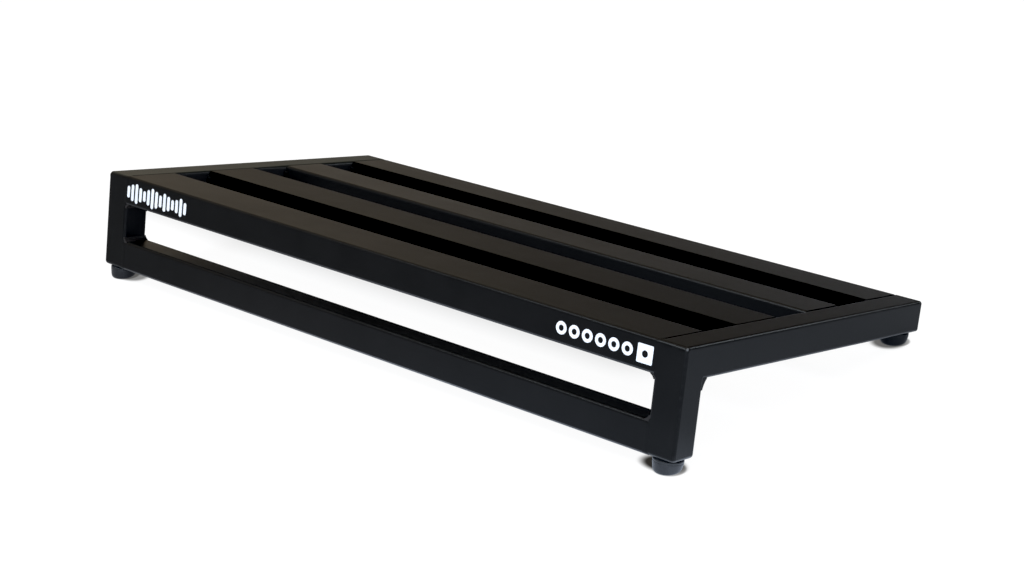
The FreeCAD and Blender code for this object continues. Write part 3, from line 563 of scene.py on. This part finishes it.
def end_cap(side):
    """Plate closing the foot of a leg, its weld ground round into the tube."""
    bm, wl = new_bm()
    rings = []
    r_out, r_v, n = 2.9, 2.4, 8
    for i in range(n + 1):
        a = math.pi / 2 * i / n
        s, e = 3.0 - r_out * math.sin(a), r_out * (1.0 - math.cos(a))
        if i == n:
            s = 0.0
        front = Vector((LEG_Y, -LEG_DROP)) + UP * s
        across = Vector((COS_L, SIN_L))
        x0, x1, d0, d1 = e, SIDE - e, e, LEG_DEPTH - e
        rv = max(0.6, r_v - 0.4 * e)
        ring = []
        for cx_, cd_, a0 in ((x1 - rv, d0 + rv, -90), (x1 - rv, d1 - rv, 0), (x0 + rv, d1 - rv, 90), (x0 + rv, d0 + rv, 180)):
            for j in range(6):
                b = math.radians(a0 + 90.0 * j / 5)
                x, d = cx_ + rv * math.cos(b), cd_ + rv * math.sin(b)
                q = front + across * d
                v = bm.verts.new(DECK @ Vector((x if side == "left" else LENGTH - x, q.x, q.y)))
                v[wl] = 0.0
                ring.append(v)
        rings.append(ring)
    skin(bm, rings)
    finish_piece("leg_end_cap_" + side, bm, SHELL, ["leg_end_plate_" + side], 40.0, 1e-7)


for side in ("left", "right"):
    end_cap(side)


# ------------------------------------------------------------- weld beads
def jitter(seed, t):
    """Small repeatable variation along a hand-laid bead."""
    return (math.sin(t * 2.1 + seed * 1.7) * 0.5 + math.sin(t * 5.3 + seed * 3.1) * 0.3
            + math.sin(t * 11.7 + seed * 0.9) * 0.2)


def bead(bm, wl, frame_m, p0, p1, n1, n2, leg, seed, pitch=1.45, depth=0.5, convex=0.16, tall=1.0,
         dressed=False):
    """Rippled fillet bead in the corner line p0 to p1, between the faces that run off along n1 and n2."""
    p0, p1, n1, n2 = Vector(p0), Vector(p1), Vector(n1), Vector(n2)
    run = p1 - p0
    length = run.length
    d = run / length
    steps = max(24, int(length / 0.26))
    across = 10
    rings = []
    for i in range(steps + 1):
        s = length * i / steps
        end = min(s, length - s)
        cap = math.sqrt(max(0.0, 1.0 - (1.0 - min(1.0, end / (leg * 0.7))) ** 2))
        grow = 1.0 if dressed else max(0.04, cap)
        size = leg * (1.0 + 0.06 * jitter(seed, s)) * (0.55 + 0.45 * grow)
        ring = []
        for j in range(across + 1):
            t = j / across
            # each ripple is a crescent, its middle ahead of its toes
            lag = 1.1 * (1.0 - (2 * t - 1) ** 2)
            phase = (s + lag) / pitch + 0.15 * jitter(seed + 2, s)
            wave = abs(math.sin(math.pi * phase)) ** 0.6
            lift = (convex + 0.055 * wave) * leg * math.sin(math.pi * t) * grow
            # convex chord between the two toes
            q = p0 + d * s + n1 * (size * (1 - t)) + n2 * (size * tall * t)
            sag = math.sin(math.pi * t) * size * 0.10
            q = q + (n1 + n2).normalized() * (lift - sag)
            v = bm.verts.new(frame_m @ q)
            v[wl] = 0.5 * wave * math.sin(math.pi * t)
            ring.append(v)
        for q in (p0 + d * s + n2 * (size * tall * 0.98) - n1 * depth,
                  p0 + d * s - n1 * depth - n2 * depth,
                  p0 + d * s + n1 * (size * 0.98) - n2 * depth):
            v = bm.verts.new(frame_m @ q)
            v[wl] = 0.0
            ring.append(v)
        rings.append(ring)
    skin(bm, rings)


def groove_bead(bm, wl, frame_m, p0, p1, up, side_dir, half_w, height, sink, seed, pitch=1.5):
    """Low rippled bead lying in a groove along p0 to p1."""
    p0, p1, up, side_dir = Vector(p0), Vector(p1), Vector(up), Vector(side_dir)
    run = p1 - p0
    length = run.length
    d = run / length
    steps = max(24, int(length / 0.3))
    n = 14
    rings = []
    for i in range(steps + 1):
        s = length * i / steps
        end = min(s, length - s)
        grow = max(0.10, math.sqrt(max(0.0, 1.0 - (1.0 - min(1.0, end / (half_w * 1.2))) ** 2)))
        ring = []
        for j in range(n):
            a = 2 * math.pi * j / n
            ca, sa = math.cos(a), math.sin(a)
            lag = 1.0 * max(0.0, sa)
            wave = abs(math.sin(math.pi * ((s + lag) / pitch + 0.12 * jitter(seed, s)))) ** 0.6
            w = half_w * (1.0 + 0.06 * jitter(seed, s)) * grow
            h = (height * (0.80 + 0.20 * wave) if sa > 0 else sink) * grow
            v = bm.verts.new(frame_m @ (p0 + d * s + side_dir * (w * ca) + up * (h * sa)))
            v[wl] = 0.5 * wave * max(0.0, sa)
            ring.append(v)
        rings.append(ring)
    skin(bm, rings)


GAP_CORNERS = ((52.0, 1), (89.3, -1), (141.3, 1), (180.1, -1), (224.6, 1), (264.0, -1))
RAIL_SPANS = ((0.0, 52.0), (89.3, 141.3), (180.1, 224.6), (264.0, 308.5))

for side in ("left", "right"):
    x_in, sx = (SIDE, 1) if side == "left" else (LENGTH - SIDE, -1)
    bm, wl = new_bm()
    for i, (y, sy) in enumerate(GAP_CORNERS):
        bead(bm, wl, DECK, (x_in, y, -22.0), (x_in, y, -4.4), (sx, 0, 0), (0, sy, 0), 2.6, i + (7 if sx < 0 else 0))
    for i, (ya, yb) in enumerate(RAIL_SPANS):
        ya = max(ya, KNEE.x + 5.6) + 2.0
        yb = yb - 2.6 if yb < 300 else yb - 5.2
        groove_bead(bm, wl, DECK, (x_in - sx * 0.75, ya, -23.5), (x_in - sx * 0.75, yb, -23.5),
                    (0, 0, -1), (1, 0, 0), 1.55, 0.95, 0.7, i + 20)
    finish_piece("weld_beads_deck_run_" + side, bm, WELD, ["weld_beads_deck_" + side], 60.0)

    # the knee, across the inside of the mitre
    x0 = 0.0 if side == "left" else LENGTH - SIDE
    bm, wl = new_bm()
    bead(bm, wl, DECK, (x0 + 0.25, KNEE.x, -TUBE), (x0 + SIDE - 0.25, KNEE.x, -TUBE),
         (0, 1, 0), (0, SIN_L, -COS_L), 3.7, 31 + sx, pitch=1.9, depth=2.5, convex=-0.12,
         tall=2.0, dressed=True)
    finish_piece("weld_bead_knee_run_" + side, bm, WELD_SMOOTH, ["weld_bead_knee_" + side], 60.0)

# the four corners of the window between the two tall-face rails
LEG0 = leg_frame(0.0)
bm, wl = new_bm()
for i, (x_in, sx) in enumerate(((SIDE, 1), (LENGTH - SIDE, -1))):
    bead(bm, wl, LEG0, (x_in, 0.3, 24.604), (x_in, 22.9, 24.604), (sx, 0, 0), (0, 0, 1), 3.2, 41 + i,
         depth=2.5, convex=-0.1, dressed=True)
    bead(bm, wl, LEG0, (x_in, 0.3, 56.208), (x_in, 22.9, 56.208), (sx, 0, 0), (0, 0, -1), 3.2, 51 + i,
         depth=2.5, convex=-0.1, dressed=True)
finish_piece("weld_beads_window_run", bm, WELD_WINDOW_LIT, ["weld_beads_window"], 60.0)


# ------------------------------------ ground seams across the tall face
def round_path(points, radius, n=7):
    """Polyline through the points, each inner one rounded, as (position, outward normal)."""
    pts = [Vector(p) for p in points]
    out = []
    for i, p in enumerate(pts):
        if i in (0, len(pts) - 1):
            q = pts[1] if i == 0 else pts[-2]
            d = (q - p).normalized() if i == 0 else (p - q).normalized()
            out.append((p, Vector((-d.y, d.x))))
            continue
        d0, d1 = (p - pts[i - 1]).normalized(), (pts[i + 1] - p).normalized()
        a, b = p - d0 * radius, p + d1 * radius
        n0, n1 = Vector((-d0.y, d0.x)), Vector((-d1.y, d1.x))
        c = a - n0 * radius
        for j in range(n + 1):
            t = j / n * math.pi / 2
            nn = (n0 * math.cos(t) + n1 * math.sin(t)).normalized()
            out.append((c + nn * radius, nn))
    return out


def ground_seam(bm, wl, frame_m, x_in, sx, path, lean_of, seed):
    """Filler dressed flush over the joint between the end of a rail and the post beside it."""
    cols = (-2.9, -2.5, -1.6, -0.6, 0.6, 1.6, 2.5, 2.9)
    dense = []
    for (p, n), (q, m) in zip(path, path[1:]):
        k_ = max(1, int((q - p).length / 1.6))
        for i in range(k_):
            t = i / k_
            dense.append((p.lerp(q, t), n.lerp(m, t).normalized()))
    dense.append(path[-1])
    rings = []
    total = len(dense)
    for i, (p, n) in enumerate(dense):
        end = min(i, total - 1 - i)
        ring_top, ring_low = [], []
        for x in cols:
            u = 1.0 - abs(x) / 2.9
            lift = -0.05 + (0.085 + 0.012 * jitter(seed, i * 0.9 + x)) * smoothstep(0.0, 0.55, u)
            if end == 0:
                lift = -0.25
            drop = lean_of(p) * (0.5 - x / 5.8)
            q = p + n * lift + Vector((drop, 0.0))
            v = bm.verts.new(frame_m @ Vector((x_in + sx * x, q.x, q.y)))
            v[wl] = 0.0
            ring_top.append(v)
            q = q - n * 0.7
            v = bm.verts.new(frame_m @ Vector((x_in + sx * x, q.x, q.y)))
            v[wl] = 0.0
            ring_low.append(v)
        rings.append(ring_top + list(reversed(ring_low)))
    skin(bm, rings)


bm, wl = new_bm()
for i, (x_in, sx) in enumerate(((SIDE, 1), (LENGTH - SIDE, -1))):
    # front deck rail: over the top edge, down the face and under
    path = round_path(((4.2, -24.4), (0.0, -24.4), (0.0, 0.0), (3.9, 0.0)), EDGE)
    ground_seam(bm, wl, DECK, x_in, sx, path,
                lambda p: (CORNER_Y - p.y * math.tan(LEAN)) * (1.0 if p.x < 2.0 else 0.0), 61 + i)
    # lower rail, in the leg's own frame
    path = round_path(((4.2, 0.0), (0.0, 0.0), (0.0, 24.604), (3.6, 24.604)), EDGE)
    ground_seam(bm, wl, LEG0, x_in, sx, path, lambda p: 0.0, 71 + i)
finish_piece("weld_seams_tall_face_dressed", bm, SHELL, ["weld_seams_tall_face"], 50.0)


# ------------------------------------------------------------------- feet
FOOT_H, FOOT_R, SOLE_R, FOOT_EDGE = 9.6, 10.86, 10.16, 2.8


def rubber_foot(name, node, frame_m, slope):
    """Moulded foot: tapered wall, rolled sole edge, screw pocket, sole cut level with the ground."""
    t = math.tan(slope)
    prof = []                     # (radius, "top" or "ground", distance, wear)
    for r, w in ((2.2, 0.0), (4.0, 0.0), (9.9, 0.0), (10.45, 0.04), (10.75, 0.22), (10.85, 0.5), (10.87, 0.9),
                 (10.86, 1.5), (10.72, 1.7), (10.84, 1.95), (10.80, 2.6)):
        prof.append((r, "top", w, 0.0))
    for r, q in ((10.42, 3.6), (10.28, 2.9)):
        prof.append((r, "ground", q, 0.0))
    for i in range(1, 9):
        a = math.pi / 2 * i / 8
        prof.append((SOLE_R - FOOT_EDGE * (1 - math.cos(a)), "ground", FOOT_EDGE * (1 - math.sin(a)), 0.4))
    prof += [(7.1, "ground", 0.0, 0.0), (6.6, "ground", 0.25, 0.0), (6.2, "ground", 0.0, 0.0),
             (5.3, "ground", 0.0, 0.0), (5.0, "ground", 0.15, 0.0), (4.9, "ground", 0.45, 0.0)]
    prof += [(4.9, "top", 3.6, 0.0), (4.75, "top", 3.28, 0.0), (4.5, "top", 3.2, 0.0), (2.2, "top", 3.2, 0.0)]
    seg = 72
    bm, wl = new_bm()
    rings = []
    for r, ref, val, w in prof:
        ring = []
        for i in range(seg):
            a = 2 * math.pi * i / seg
            x, y = r * math.cos(a), r * math.sin(a)
            z = -0.8 - val if ref == "top" else -FOOT_H + y * t + val + 0.0005
            v = bm.verts.new(frame_m @ Vector((x, y, z)))
            v[wl] = w
            ring.append(v)
        rings.append(ring)
    rings.append(rings[0])
    skin(bm, rings, False, False)
    finish_piece(name, bm, RUBBER_LOW_SHADED if "low" in name else RUBBER, [node], 50.0, 1e-8)


for side, x0, x_foot in (("left", 0.0, 12.3), ("right", LENGTH - SIDE, SIDE - 12.3)):
    rubber_foot("moulded_foot_tall_" + side, "foot_tall_" + side,
                leg_frame(x0) @ Matrix.Translation((x_foot, LEG_DEPTH / 2, 0.0)), TILT - LEAN)
    rubber_foot("moulded_foot_low_" + side, "foot_low_" + side,
                deck_at(x0 + x_foot, DEPTH - 14.1, -TUBE), TILT)


# -------------------------------------------------- floor, light and world
def grid_plane(name, size, z):
    me = bpy.data.meshes.new(name)
    bm = bmesh.new()
    bmesh.ops.create_circle(bm, cap_ends=True, radius=size, segments=96)
    bm.to_mesh(me)
    bm.free()
    o = bpy.data.objects.new(name, me)
    o.location.z = z
    scene.collection.objects.link(o)
    return o


# contact shade: foot centre on the ground, how far the shade reaches under the frame, and how deep it is
FOOT_SHADE = (
    (0.2925, -0.1457, -0.0080, 0.003, 0.0185, 0.0125, 0.0),
    (-0.2925, -0.1457, 0.007, 0.003, 0.0150, 0.0125, 0.25),
    (0.2925, 0.1413, -0.003, -0.0055, 0.0140, 0.0145, 0.12),
    (-0.2925, 0.1413, 0.004, -0.007, 0.0150, 0.0160, 0.0),
)
floor = grid_plane("studio_floor", 14.0, 0.0)
k = Mat("studio_floor")
p = k.coord()
shade = k.noise(p, 3.0, 2.0, 0.5)
lit = k.node("BsdfDiffuse")
k.put(lit.inputs["Color"], k.mix(k.span(shade, 0.3, 0.7), rgb(0.34, 0.35, 0.37), rgb(0.36, 0.37, 0.39)))
# the bright sweep as the camera sees it: nearly burnt out, dark only close in under the feet
fx, fy = (lambda q: (q.outputs[0], q.outputs[1]))(k.node("SeparateXYZ"))
k.put(fx.node.inputs[0], p)
touch = None
for cx, cy, ox, oy, rx, ry, dim in FOOT_SHADE:
    for ax, ay, wx, wy, lo, hi in ((cx, cy, 0.0118, 0.0118, 0.86, 1.06), (cx + ox, cy + oy, rx, ry, 0.66, 1.16)):
        ex = k.math("DIVIDE", k.math("SUBTRACT", fx, ax), wx)
        ey = k.math("DIVIDE", k.math("SUBTRACT", fy, ay), wy)
        far = k.math("SQRT", k.math("ADD", k.math("MULTIPLY", ex, ex), k.math("MULTIPLY", ey, ey)))
        one = k.span(far, lo, hi, dim if wx != 0.0118 else 0.35, 1.0, smooth=True)
        touch = one if touch is None else k.math("MULTIPLY", touch, one)
# a breath of shade on the ground under the deck
under = k.math("MULTIPLY", k.span(fy, -0.054, -0.031), k.span(fy, 0.15, 0.10, smooth=True))
under = k.math("MULTIPLY", under, k.math("MULTIPLY", k.span(fx, -0.50, -0.42, smooth=True),
                                         k.span(fx, 0.21, 0.15, smooth=True)))
touch = k.math("MULTIPLY", touch, k.math("SUBTRACT", 1.0, k.math("MULTIPLY", under, 0.13)))
glow = k.node("Emission")
k.put(glow.inputs["Color"], k.mix(touch, rgb(0.035, 0.033, 0.030), rgb(0.94, 0.94, 0.942)))
soft = k.node("BsdfDiffuse")
k.put(soft.inputs["Color"], k.mix(touch, rgb(0.0, 0.0, 0.0), rgb(0.12, 0.12, 0.122)))
seen = k.node("AddShader")
k.t.links.new(glow.outputs[0], seen.inputs[0])
k.t.links.new(soft.outputs[0], seen.inputs[1])
path = k.node("LightPath")
pick = k.node("MixShader")
k.put(pick.inputs[0], path.outputs["Is Camera Ray"])
haze = k.node("Emission")
across = k.span(fx, -0.38, -0.10, 0.0, 1.0, smooth=True)
bluer = k.span(fx, -0.20, 0.20, 0.0, 1.0, smooth=True)
close = k.math("MULTIPLY", k.span(fx, -0.04, 0.12, 0.0, 1.0, smooth=True),
               k.span(fy, -0.37, -0.23, 0.0, 1.0, smooth=True))
beyond = k.span(fy, -0.10, 0.16, 1.0, 0.56, smooth=True)
ahead = k.math("MULTIPLY", k.span(fy, -0.17, -0.12, 1.45, 0.92, smooth=True), k.span(fx, 0.26, 0.34, 1.0, 0.92))
strip = k.math("MULTIPLY", k.math("MULTIPLY", k.span(fx, 0.297, 0.306), k.span(fx, 0.362, 0.335)),
               k.math("MULTIPLY", k.span(fy, -0.180, -0.165), k.span(fy, -0.09, -0.115)))
level = k.math("MULTIPLY", k.math("MULTIPLY", k.math("ADD", 1.0, k.math("MULTIPLY", close, 0.36)), beyond), ahead)
level = k.math("MULTIPLY", level, k.math("ADD", 1.0, k.math("MULTIPLY", strip, 0.8)))
k.put(haze.inputs["Color"], k.mix(across, rgb(0.145, 0.144, 0.146), k.mix(bluer, rgb(0.47, 0.475, 0.51),
                                                                         rgb(0.50, 0.56, 0.66))))
k.put(haze.inputs["Strength"], level)
bounce = k.node("AddShader")
k.t.links.new(lit.outputs[0], bounce.inputs[0])
k.t.links.new(haze.outputs[0], bounce.inputs[1])
k.t.links.new(bounce.outputs[0], pick.inputs[1])
k.t.links.new(seen.outputs[0], pick.inputs[2])
k.t.links.new(pick.outputs[0], k.out.inputs[0])
floor.data.materials.append(k.m)


def softbox(name, loc, target, sx, sy, radiance, colour):
    """Rectangular soft light, set by its own brightness so that its size can change freely."""
    d = bpy.data.lights.new(name, "AREA")
    d.shape = "RECTANGLE"
    d.size, d.size_y = sx, sy
    d.energy = radiance * math.pi * sx * sy
    d.color = colour
    o = bpy.data.objects.new(name, d)
    o.location = loc
    o.rotation_mode = "QUATERNION"
    o.rotation_quaternion = (Vector(target) - Vector(loc)).to_track_quat("-Z", "Y")
    o.visible_camera = False
    scene.collection.objects.link(o)
    return o


softbox("softbox_top", (0.0, 0.0, 2.2), (0, 0, 0), 2.6, 2.6, 0.5, (1.0, 0.95, 0.88))
softbox("softbox_front", (0.9, -2.3, 1.1), (0, 0, 0.05), 2.4, 1.9, 1.6, (0.82, 0.91, 1.0))
softbox("softbox_right", (2.4, -0.2, 1.0), (0, 0, 0.05), 2.0, 1.7, 1.4, (0.86, 0.93, 1.0))
softbox("softbox_edge_front", (-0.75, -0.95, 1.65), (0.1, -0.1, 0.05), 0.6, 0.6, 13.0, (0.82, 0.91, 1.0))
softbox("softbox_edge_back", (0.95, 2.15, 1.05), (0.3, 0, 0.05), 0.9, 0.5, 7.0, (0.84, 0.92, 1.0))

world = bpy.data.worlds.new("studio")
scene.world = world
world.use_nodes = True


class WorldNodes(Mat):
    def __init__(self, tree):
        self.t = tree
        self.t.nodes.clear()
        self.out = tree.nodes.new("ShaderNodeOutputWorld")


k = WorldNodes(world.node_tree)
d = k.node("SeparateXYZ")
k.put(d.inputs[0], k.node("TexCoord").outputs["Generated"])
dx, dy, dz = d.outputs
side = k.math("ADD", k.math("MULTIPLY", dx, 0.75), k.math("MULTIPLY", dy, -0.66))
left = k.span(dx, -0.46, -0.96, 0.0, 1.0, smooth=True)
room = k.mix(left, rgb(0.050, 0.042, 0.031), rgb(0.73, 0.61, 0.45))
ahead_left = k.math("MULTIPLY", k.span(dy, -0.30, -0.70, smooth=True), k.span(dx, 0.10, -0.40, smooth=True))
room = k.mix(ahead_left, room, rgb(0.46, 0.49, 0.54))
low = k.mix(k.span(side, 0.1, 0.8, smooth=True), room, rgb(0.72, 0.78, 0.88))
sky = k.mix(k.span(dz, 0.45, 0.85, smooth=True), low, rgb(0.60, 0.55, 0.48))
bg = k.node("Background")
k.put(bg.inputs["Color"], sky)
pale = k.node("Background")
pale.inputs["Color"].default_value = rgb(0.965, 0.97, 0.985)
mx = k.node("MixShader")
k.put(mx.inputs[0], k.node("LightPath").outputs["Is Camera Ray"])
k.t.links.new(bg.outputs[0], mx.inputs[1])
k.t.links.new(pale.outputs[0], mx.inputs[2])
k.t.links.new(mx.outputs[0], k.out.inputs[0])

# the print's black point, as a studio picture is finished
scene.view_settings.use_curve_mapping = True
cm = scene.view_settings.curve_mapping
cm.black_level = (0.0080, 0.0080, 0.0080)
cm.update()
